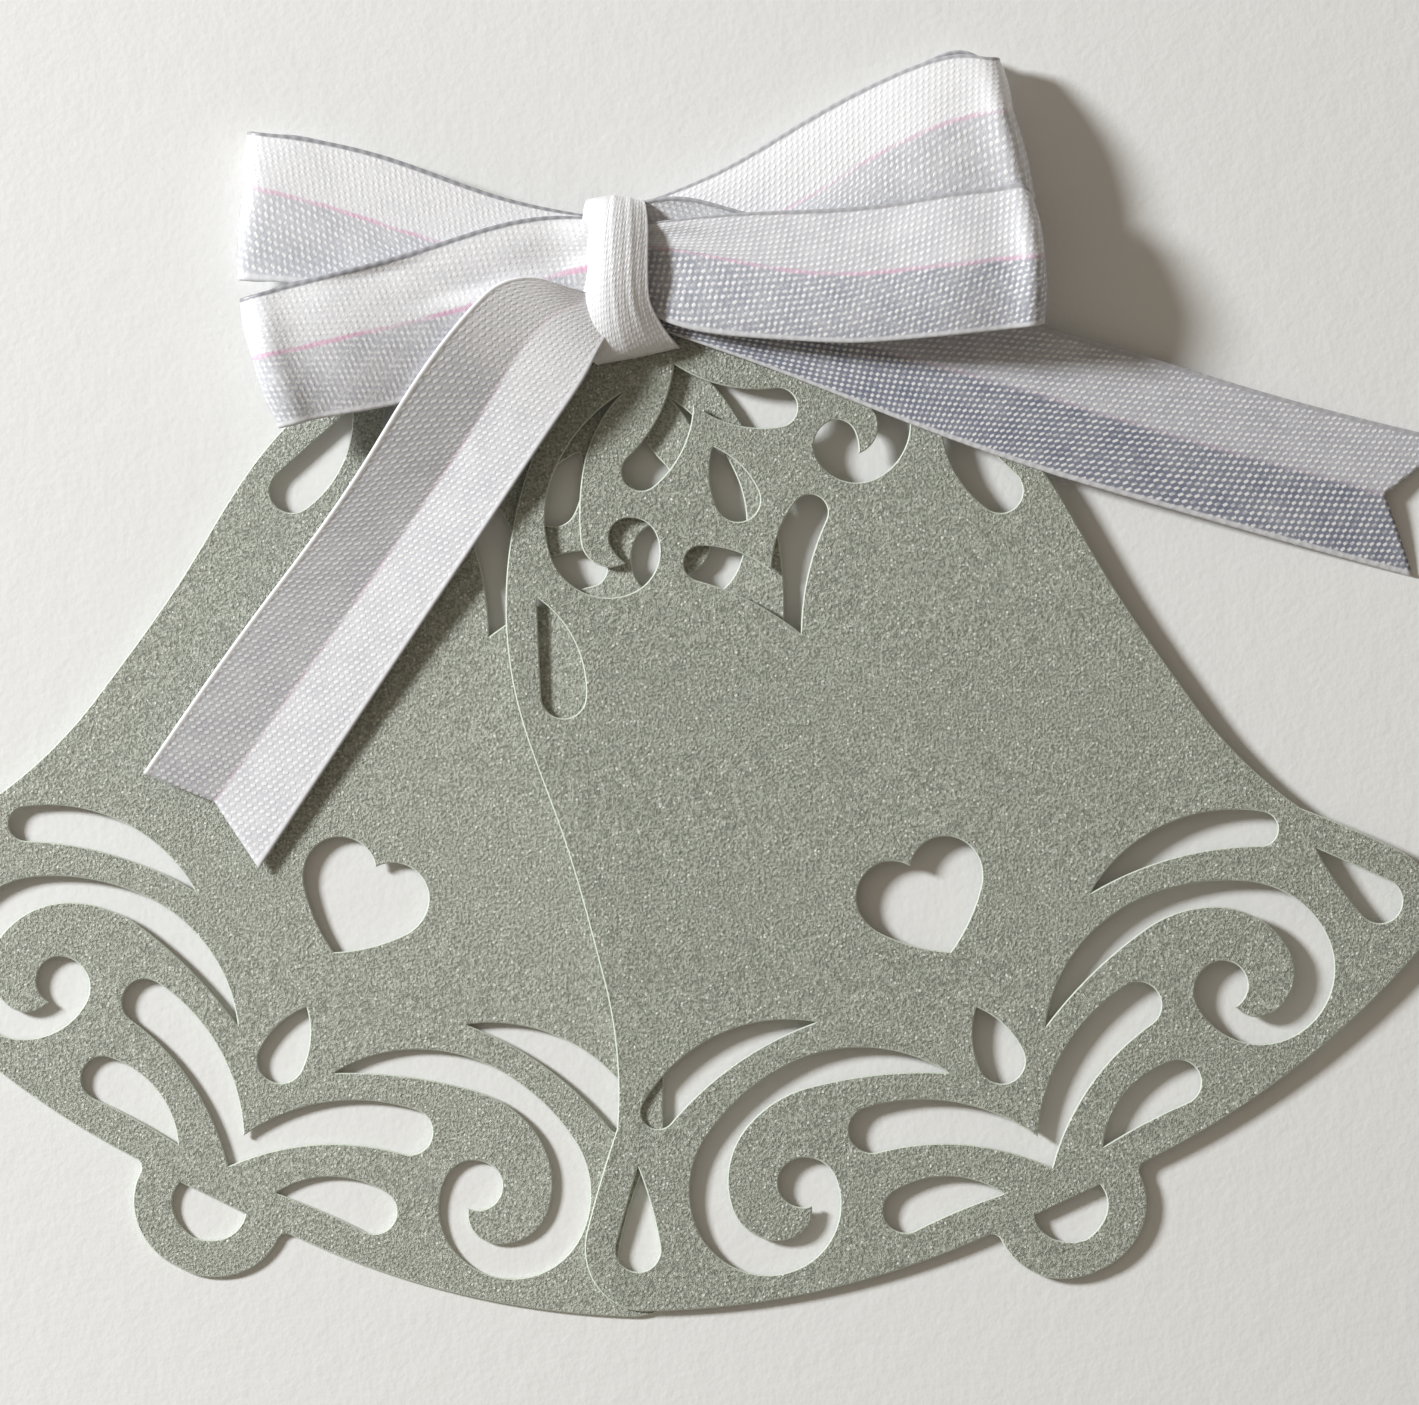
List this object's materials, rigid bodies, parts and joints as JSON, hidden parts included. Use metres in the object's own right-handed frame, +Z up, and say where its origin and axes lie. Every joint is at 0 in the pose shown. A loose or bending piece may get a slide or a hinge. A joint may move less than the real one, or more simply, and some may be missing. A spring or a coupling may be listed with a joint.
{
  "type": "bell-shaped wedding card",
  "caption": "Die-cut card bells with a pierced scroll and heart pattern, crossed and tied at the crowns with a double-loop satin ribbon bow",
  "frame": {"origin": "centre of the base of the whole card as it lies on a table, at the height of the lowest point", "axes": "+X to the viewer's right, across both bells; +Y from the bells' rims towards the bow; +Z up, out of the lying card"},
  "size_m": [0.1082, 0.0858, 0.007],
  "materials": {
    "card": "pearlescent sage-grey card with fine sparkling flecks",
    "ribbon": "white woven satin with a faint pink line along its crease"
  },
  "bodies": {
    "root": {"rear_bell": "card", "front_bell": "card", "ribbon_bow": "ribbon"}
  },
  "joints": []
}
